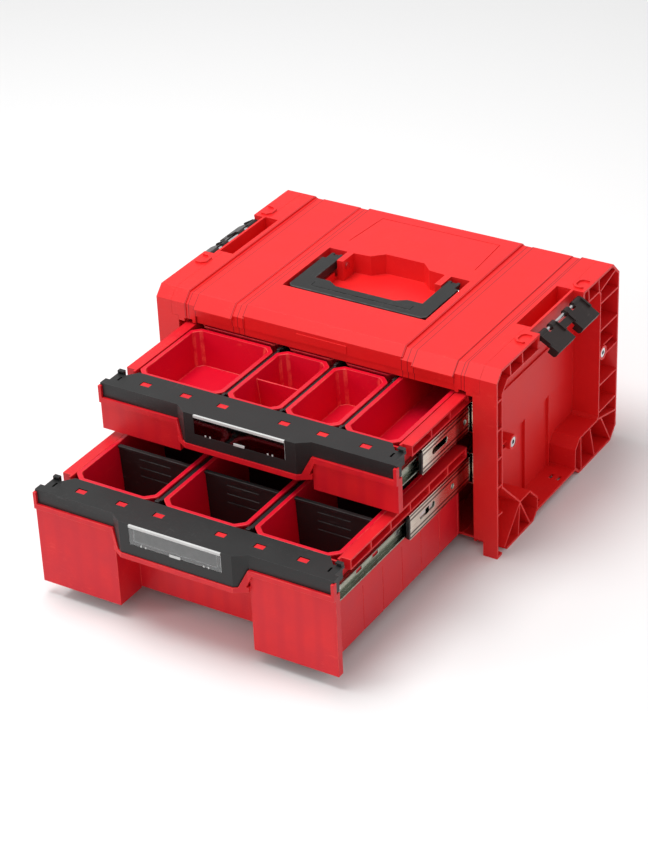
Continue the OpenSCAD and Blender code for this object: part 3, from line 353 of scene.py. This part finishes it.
plastics = {
    "redPlastic": {
        "base": (0.76, 0.013, 0.011, 1), "tint": (0.68, 0.009, 0.013, 1), "wearAndHighlightColor": (0.88, 0.085, 0.060, 1),
        "roughness": (0.38, 0.50), "gloss": 0.35, "grain": 1600, "depth": 0.00002, "edgeWearAndLight": 0.55},
    "redCover": {
        "base": (0.76, 0.013, 0.011, 1), "tint": (0.68, 0.009, 0.013, 1), "wearAndHighlightColor": (0.88, 0.085, 0.060, 1),
        "roughness": (0.38, 0.50), "gloss": 0.35, "grain": 1600, "depth": 0.00002, "edgeWearAndLight": 0.55,
        "lines": 0.85, "shade": (0.26, 0.003, 0.008, 1)},
    # A darker copy of the red plastic for the drawer shells: painted shade of their fronts
    "shadedRedFronts": {
        "base": (0.72, 0.011, 0.014, 1), "tint": (0.56, 0.004, 0.016, 1), "wearAndHighlightColor": (0.88, 0.085, 0.065, 1),
        "roughness": (0.36, 0.48), "gloss": 0.35, "grain": 1600, "depth": 0.00002, "edgeWearAndLight": 0.55,
        "bands": 0.45},
    # A darker, more crimson copy of the red plastic for the bins: painted shade of their insides
    "shadedRedBins": {
        "base": (0.68, 0.001, 0.017, 1), "tint": (0.58, 0.001, 0.021, 1), "wearAndHighlightColor": (0.84, 0.085, 0.060, 1),
        "roughness": (0.30, 0.42), "gloss": 0.4, "grain": 2200, "depth": 0.00001, "edgeWearAndLight": 0.6},
    "blackPlastic": {
        "base": (0.013, 0.013, 0.013, 1), "tint": (0.008, 0.008, 0.008, 1), "wearAndHighlightColor": (0.10, 0.10, 0.10, 1),
        "roughness": (0.36, 0.50), "gloss": 0.4, "grain": 1500, "depth": 0.00003, "edgeWearAndLight": 0.5},
    "latchPlastic": {
        "base": (0.018, 0.011, 0.010, 1), "tint": (0.011, 0.006, 0.006, 1), "wearAndHighlightColor": (0.11, 0.085, 0.08, 1),
        "roughness": (0.30, 0.44), "gloss": 0.35, "grain": 1500, "depth": 0.00003, "edgeWearAndLight": 0.8},
    # Light grey for the windows' rims: a painted highlight
    "rimHighlight": {
        "base": (0.64, 0.64, 0.63, 1), "tint": (0.44, 0.44, 0.43, 1), "wearAndHighlightColor": (0.95, 0.95, 0.95, 1),
        "roughness": (0.12, 0.26), "gloss": 0.6, "grain": 900, "depth": 0.00003, "edgeWearAndLight": 0.5},
}
plasticSurface = {"ior": 1.49, "scuffs": 0.18, "markRoughness": 0.1, "bump": 0.35}


def makePlastic(name, p):
    made, tree, surface = newMaterial(name, Metallic=0.0, IOR=plasticSurface["ior"],
                                      Specular_IOR_Level=p["gloss"])
    grain = useGroup(tree, "mouldGrain", Grain_Scale=p["grain"])
    edgeWearAndLight = useGroup(tree, "edgeWearAndHighlight", Amount=p["edgeWearAndLight"])
    scuffed = useGroup(tree, "scuffs", Amount=plasticSurface["scuffs"])
    color = mixColor(tree, grain.outputs["Mottle"], p["tint"], p["base"])
    if "bands" in p:
        bands = useGroup(tree, "sinkBands", Amount=p["bands"])
        color = mixColor(tree, bands.outputs["Mask"], color, p["tint"])
    # Painted shade: dark lines along the steps and grooves of the cover
    if "lines" in p:
        lines = useGroup(tree, "coverShadeLines", Amount=p["lines"])
        color = mixColor(tree, lines.outputs["Mask"], color, p["shade"])
    # Edges lighter, partly as wear and partly as painted highlight; scuffs lighter as wear
    marks = mathNode(tree, "MAXIMUM", edgeWearAndLight.outputs["Mask"], scuffed.outputs["Mask"])
    color = mixColor(tree, marks, color, p["wearAndHighlightColor"])
    tree.links.new(color, surface.inputs["Base Color"])
    rough = mapRange(tree, grain.outputs["Shine"], 0, 1, *p["roughness"])
    duller = mathNode(tree, "MULTIPLY", marks, plasticSurface["markRoughness"])
    tree.links.new(mathNode(tree, "ADD", rough, duller), surface.inputs["Roughness"])
    bumpInto(tree, surface, plasticSurface["bump"], p["depth"], grain.outputs["Height"])
    return made


metals = {
    "zincPlate": {
        "base": (0.86, 0.82, 0.70, 1), "tint": (0.62, 0.59, 0.49, 1), "wearAndHighlightColor": (0.96, 0.95, 0.90, 1),
        "roughness": (0.13, 0.26), "along": (40, 1.5, 40), "races": 0.9, "shade": (0.05, 0.02, 0.02, 1)},
    "zincGreen": {
        "base": (0.46, 0.50, 0.40, 1), "tint": (0.30, 0.33, 0.27, 1), "wearAndHighlightColor": (0.88, 0.87, 0.78, 1),
        "roughness": (0.18, 0.32), "along": (40, 1.5, 40), "races": 0.6, "shade": (0.12, 0.12, 0.10, 1)},
    "brightSteel": {
        "base": (0.78, 0.78, 0.79, 1), "tint": (0.62, 0.62, 0.64, 1), "wearAndHighlightColor": (0.92, 0.92, 0.92, 1),
        "roughness": (0.14, 0.26), "along": (6, 6, 6)},
}
metalSurface = {
    "edgeWearAndLight": 0.8,
    "edgeWearAndLightScale": 160,
    "streaks": (22, 4, 0.6),
    "spangle": (70, 2, 0.5),
    "range": (0.35, 0.65),
    "streakShare": 0.6,
    "bump": 0.2,
    "depth": 0.00002,
}


def makeMetal(name, m):
    made, tree, surface = newMaterial(name, Metallic=1.0)
    edgeWearAndLight = useGroup(tree, "edgeWearAndHighlight", Amount=metalSurface["edgeWearAndLight"], Break_Up_Scale=metalSurface["edgeWearAndLightScale"])
    streaks = mapRange(tree, objectNoise(tree, *metalSurface["streaks"], m["along"]), *metalSurface["range"])
    spangle = mapRange(tree, objectNoise(tree, *metalSurface["spangle"]), *metalSurface["range"])
    mixed = blendTwo(tree, streaks, spangle, metalSurface["streakShare"])
    color = mixColor(tree, mixed, m["tint"], m["base"])
    # Painted shade: dark lines along the slides' rolled grooves
    if "races" in m:
        races = useGroup(tree, "raceShadeLines", Amount=m["races"])
        color = mixColor(tree, races.outputs["Mask"], color, m["shade"])
    # Edges lighter, partly as wear and partly as painted highlight
    color = mixColor(tree, edgeWearAndLight.outputs["Mask"], color, m["wearAndHighlightColor"])
    tree.links.new(color, surface.inputs["Base Color"])
    low, high = m["roughness"]
    tree.links.new(mapRange(tree, mixed, 0, 1, high, low), surface.inputs["Roughness"])
    bumpInto(tree, surface, metalSurface["bump"], metalSurface["depth"], streaks)
    return made


clears = {   # through: how much of the light passes
    "clearPlastic": {"dull": (0.90, 0.92, 0.92, 1), "bright": (0.97, 0.98, 0.98, 1), "through": 0.86},
    "smokedPlastic": {"dull": (0.018, 0.018, 0.018, 1), "bright": (0.035, 0.035, 0.035, 1), "through": 1.0},
}
clearSurface = {
    "ior": 1.49,
    "scuffs": 0.5,
    "scuffScale": 90,
    "haze": (60, 3, 0.6),
    "range": (0.3, 0.7),
    "roughness": (0.03, 0.09),
    "markRoughness": 0.2,
    "bump": 0.15,
    "depth": 0.00002,
}


def makeClear(name, p):
    # Clear window with faint haze and fine scuffs
    made, tree, surface = newMaterial(name, Metallic=0.0, IOR=clearSurface["ior"],
                                      Transmission_Weight=p["through"])
    scuffed = useGroup(tree, "scuffs", Amount=clearSurface["scuffs"], Scale=clearSurface["scuffScale"])
    haze = objectNoise(tree, *clearSurface["haze"])
    color = mixColor(tree, mapRange(tree, haze, *clearSurface["range"]), p["dull"], p["bright"])
    tree.links.new(color, surface.inputs["Base Color"])
    rough = mapRange(tree, haze, *clearSurface["range"], *clearSurface["roughness"])
    duller = mathNode(tree, "MULTIPLY", scuffed.outputs["Mask"], clearSurface["markRoughness"])
    tree.links.new(mathNode(tree, "ADD", rough, duller), surface.inputs["Roughness"])
    bumpInto(tree, surface, clearSurface["bump"], clearSurface["depth"], haze)
    return made


# The card's greys are lighter than its own: painted light that makes up for the window's shade on it
card = {
    "dull": (0.62, 0.61, 0.59, 1),
    "bright": (0.80, 0.79, 0.77, 1),
    "fibre": (700, 4, 0.7, (1, 1, 3)),
    "blotch": (30, 3, 0.6),
    "blotchRange": (0.35, 0.65),
    "fibreRange": (0.3, 0.7),
    "roughness": (0.6, 0.8),
    "bump": 0.3,
    "depth": 0.00003,
}


def makeCard(p):
    # Grey insert card, with paper fibre; its greys are lighter than the card's own, painted light against
    # the shade the window casts on it
    made, tree, surface = newMaterial("greyCard", Metallic=0.0)
    fibre = objectNoise(tree, *p["fibre"])
    blotch = objectNoise(tree, *p["blotch"])
    color = mixColor(tree, mapRange(tree, blotch, *p["blotchRange"]), p["dull"], p["bright"])
    tree.links.new(color, surface.inputs["Base Color"])
    tree.links.new(mapRange(tree, fibre, *p["fibreRange"], *p["roughness"]), surface.inputs["Roughness"])
    bumpInto(tree, surface, p["bump"], p["depth"], fibre)
    return made


materials = {name: makePlastic(name, p) for name, p in plastics.items()}
materials.update({name: makeMetal(name, m) for name, m in metals.items()})
materials.update({name: makeClear(name, p) for name, p in clears.items()})
materials["greyCard"] = makeCard(card)
print("materials made:", len(materials))

# The finish of each slot, for the nodes that are shown as they come
slotFinish = {
    "red_plastic": "redPlastic",
    "black_plastic": "blackPlastic",
    "zinc_plated_steel": "zincPlate",
    "bright_steel": "brightSteel",
    "clear_plastic": "clearPlastic",
    "grey_card": "greyCard",
}


# Nodes whose moulded edges are rounded: a copy of the node with its sharp edges bevelled
rounding = {   # lengths in metres
    "weld": 2e-5,
    "flat": math.radians(0.5),
    "straight": math.radians(0.5),
    "sharp": math.radians(26),
    "least": 4e-5,                    # narrower roundings are left out
    "share": 0.4,                     # of the room beside an edge that its rounding may take
    "probes": (0.1, 0.5, 0.9),        # where along an edge the room beside it is measured
    "touch": 1e-6,
    "profile": 0.5,
    "upright": 0.8,                   # z of an edge's direction from which it is a corner
    "fold": 5e-7,                     # area from which a face counts as folded
    "tries": (1, 0.6, 0.35, 0.15),    # shares of the width, tried until nothing folds
}


def mergeFlats(bm):
    # Flat neighbours become one face, as long as its outline stays simple
    for edge in list(bm.edges):
        if not edge.is_valid or len(edge.link_faces) != 2:
            continue
        one, other = edge.link_faces
        if one.normal.angle(other.normal, 1) > rounding["flat"]:
            continue
        border = [e for e in one.edges if other in e.link_faces]
        if len(set(one.verts) & set(other.verts)) == len(border) + 1:
            joined = bmesh.utils.face_join((one, other))
            if joined:
                joined.normal_update()
    passed = [v for v in bm.verts if len(v.link_edges) == 2]
    spare = [v for v in passed if v.calc_edge_angle(1) < rounding["straight"]]
    bmesh.ops.dissolve_verts(bm, verts=spare)


def roomBeside(edge, loop):
    # Distance over a face from one of its edges to its far side
    face = loop.face
    start = loop.vert.co
    end = loop.link_loop_next.vert.co
    along = (end - start).normalized()
    inward = face.normal.cross(along)
    room = 1.0
    for share in rounding["probes"]:
        place = start.lerp(end, share)
        for far in face.edges:
            if far is edge:
                continue
            a, b = (((v.co - place).dot(along), (v.co - place).dot(inward)) for v in far.verts)
            if a[0] * b[0] > 0 or abs(a[0] - b[0]) <= 1e-9:   # it doesn't cross the line from the edge
                continue
            across = a[1] + (b[1] - a[1]) * a[0] / (a[0] - b[0])
            if across > rounding["touch"]:
                room = min(room, across)
    return room


def edgeWidth(edge, width):
    near = [e.calc_length() for v in edge.verts for e in v.link_edges if e is not edge]
    rooms = [roomBeside(edge, loop) for loop in edge.link_loops]
    return min([width] + [rounding["share"] * length for length in near + rooms])


# Spans across the drawers, from the model's to the photograph's, in metres
spans = {
    "wide_bin": (-0.1703, -0.0583, -0.1712, -0.0579),
    "rear_wide_bin": (-0.1703, -0.0583, -0.1712, -0.0579),
    "narrow_bin_divided": (-0.0503, 0.0177, -0.0529, 0.0181),
    "rear_narrow_bin_left": (-0.0503, 0.0177, -0.0529, 0.0181),
    "narrow_bin_plain": (0.0257, 0.0937, 0.0231, 0.0941),
    "rear_narrow_bin_right": (0.0257, 0.0937, 0.0231, 0.0941),
    "long_bin": (0.1017, 0.1697, 0.0991, 0.1701),
    "deep_bin_left": (-0.1703, -0.0653, -0.1722, -0.0628),
    "deep_bin_middle": (-0.0525, 0.0525, -0.0549, 0.0549),
    "deep_bin_right": (0.0653, 0.1703, 0.0628, 0.1722),
}
spans["dividers_left"] = spans["deep_bin_left"]
spans["dividers_middle"] = spans["deep_bin_middle"]
spans["dividers_right"] = spans["deep_bin_right"]
rails = {   # middle in the model, middle in the photograph, share of the width that stays
    "upper_bin_rails": ((-0.0543, -0.0554, 0.45), (0.0217, 0.0206, 0.45), (0.0977, 0.0966, 0.45)),
    "lower_bin_rails": ((-0.0589, -0.0589, 0.42), (0.0589, 0.0589, 0.42)),
}
scoredLines = {"low": 0.088, "high": 0.120, "raised": 0.009}   # on the dividers, in z


def fittedShape(node):
    # What moves a copy's corners to the photograph's widths, or None
    if node in rails:
        def narrow(co):
            middle, place, share = min(rails[node], key=lambda rail: abs(co.x - rail[0]))
            co.x = place + (co.x - middle) * share
            return co
        return narrow
    if node in spans:
        low, high, newLow, newHigh = spans[node]

        def widen(co):
            co.x = newLow + (co.x - low) * (newHigh - newLow) / (high - low)
            if node.startswith("dividers") and scoredLines["low"] < co.z < scoredLines["high"]:
                co.z += scoredLines["raised"]
            return co
        return widen
    return None


def readyMesh(node, reshape):
    bm = bmesh.new()
    bm.from_mesh(nodes[node].data)
    bmesh.ops.remove_doubles(bm, verts=bm.verts, dist=rounding["weld"])
    mergeFlats(bm)
    if reshape:
        for vert in bm.verts:
            vert.co = reshape(vert.co.copy())
        bm.normal_update()
    return bm


def roundEdges(bm, name, width, segments, corner):
    # The rounded strips get material slot 1, from which their edge mask is made
    weights = bm.edges.layers.float.new("bevel_weight_edge")
    widest = max(width, corner)
    for edge in bm.edges:
        if len(edge.link_faces) != 2 or edge.calc_face_angle(0) < rounding["sharp"]:
            continue
        along = (edge.verts[0].co - edge.verts[1].co).normalized()
        upright = abs(along.z) > rounding["upright"]
        wide = edgeWidth(edge, corner if corner and upright else width)
        if wide > rounding["least"]:
            edge[weights] = wide / widest
        else:
            edge.smooth = False
    for face in bm.faces:
        face.smooth = True
    made = pieceFrom(bm, name)
    for _ in range(2):
        made.data.materials.append(None)
    bevel = made.modifiers.new("rounding", "BEVEL")
    bevel.limit_method = "WEIGHT"
    bevel.width = widest
    bevel.segments = segments
    bevel.profile = rounding["profile"]
    bevel.material = 1
    bevel.use_clamp_overlap = False
    normals = made.modifiers.new("normals", "WEIGHTED_NORMAL")
    normals.keep_sharp = True
    normals.weight = 100
    shaped = made.evaluated_get(bpy.context.evaluated_depsgraph_get())
    finished = bpy.data.meshes.new_from_object(shaped)
    made.modifiers.clear()
    made.data = finished
    return made


def foldedArea(mesh):
    # Area by which the faces' triangles cover more than the faces: outlines that cross themselves
    mesh.calc_loop_triangles()
    covered = [0.0] * len(mesh.polygons)
    for triangle in mesh.loop_triangles:
        covered[triangle.polygon_index] += triangle.area
    extra = [covered[f.index] - f.area for f in mesh.polygons]
    return sum(e for e in extra if e > rounding["fold"])


def roundedCopy(node, width, segments, corner=0):
    # The widest rounding under which no face folds, or else the one that folds least
    name = node + "_moulded"
    best = None
    for share in rounding["tries"]:
        made = roundEdges(readyMesh(node, fittedShape(node)), name, width * share, segments, corner * share)
        folded = foldedArea(made.data)
        if best is None or folded < best[0]:
            if best:
                bpy.data.objects.remove(best[1])
            best = (folded, made)
        else:
            bpy.data.objects.remove(made)
        if not folded:
            break
    made = best[1]
    made.name = name
    finished = made.data
    edge = finished.attributes.new("edge", "FLOAT", "FACE")
    for face in finished.polygons:
        edge.data[face.index].value = float(face.material_index == 1)
        face.material_index = 0
    finished.materials.clear()
    return made


def dress(piece, node, finish):
    # The piece takes the node's place and body, and its finish
    piece.data.materials.append(materials[finish])
    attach(piece, bodyOf[node])
    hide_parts(node)


moulded = {   # edge rounding in metres, segments, finish
    "top_cover": (0.0006, 2, "redCover"),
    "side_frame_left": (0.0005, 2, "redPlastic"),
    "side_frame_right": (0.0005, 2, "redPlastic"),
    "back_panel": (0.0005, 1, "redPlastic"),
    "base_plate": (0.0005, 1, "redPlastic"),
    "upper_drawer_shell": (0.0006, 2, "shadedRedFronts"),
    "lower_drawer_shell": (0.0006, 2, "shadedRedFronts"),
    "upper_drawer_bar": (0.0007, 2, "blackPlastic"),
    "lower_drawer_bar": (0.0007, 2, "blackPlastic"),
    "carry_handle": (0.0012, 3, "blackPlastic"),
    "side_latch_left": (0.0005, 2, "latchPlastic"),
    "side_latch_right": (0.0005, 2, "latchPlastic"),
    "upper_bin_rails": (0.0004, 2, "blackPlastic"),
    "lower_bin_rails": (0.0004, 2, "blackPlastic"),
    "dividers_left": (0.0004, 2, "blackPlastic"),
    "dividers_middle": (0.0004, 2, "blackPlastic"),
    "dividers_right": (0.0004, 2, "blackPlastic"),
    "upper_label_window": (0.0002, 2, "smokedPlastic"),
    "lower_label_window": (0.0002, 2, "clearPlastic"),
}
slides = {"outer": "zincPlate", "middle": "zincPlate", "inner": "zincGreen", "rounding": 0.0003}
for side in ("left", "right"):
    for level in ("upper", "lower"):
        for member in ("outer", "middle", "inner"):
            node = "_".join((member, "slide", level, side))
            moulded[node] = (slides["rounding"], 1, slides[member])
bins = {
    "rounding": 0.0007,
    "segments": 3,
    "corner": 0.0025,
    "finish": "shadedRedBins",
    "nodes": ["wide_bin", "narrow_bin_divided", "narrow_bin_plain", "long_bin", "rear_wide_bin",
              "rear_narrow_bin_left", "rear_narrow_bin_right", "deep_bin_left", "deep_bin_middle",
              "deep_bin_right"],
}
windowRim = {"strip": 0.0033, "proud": 0.0007, "edge": 0.0012}   # from the window's top, front and right


def isRim(face, low, high):
    # The window's raised strip, its catch, its lugs and its right edge
    middle = face.center
    onStrip = middle.z > high.z - windowRim["strip"]
    proud = middle.y < low.y + windowRim["proud"]
    onEdge = middle.x > high.x - windowRim["edge"]
    return onStrip or proud or onEdge


def paintRimHighlight(window):
    # The rim faces take the light grey finish, a painted highlight on the window
    corners = [v.co for v in window.data.vertices]
    low = Vector([min(co[i] for co in corners) for i in range(3)])
    high = Vector([max(co[i] for co in corners) for i in range(3)])
    window.data.materials.append(materials["rimHighlight"])
    for face in window.data.polygons:
        face.material_index = int(isRim(face, low, high))


for node, (width, segments, finish) in moulded.items():
    piece = roundedCopy(node, width, segments)
    dress(piece, node, finish)
    if node.endswith("label_window"):
        paintRimHighlight(piece)
for node in bins["nodes"]:
    piece = roundedCopy(node, bins["rounding"], bins["segments"], bins["corner"])
    dress(piece, node, bins["finish"])
print("moulded pieces rounded")

for node in nodes:
    if nodes[node].hide_render:
        continue
    nodes[node].data.materials.clear()
    nodes[node].data.materials.append(materials[slotFinish[slotOf[node]]])
print("other nodes finished")
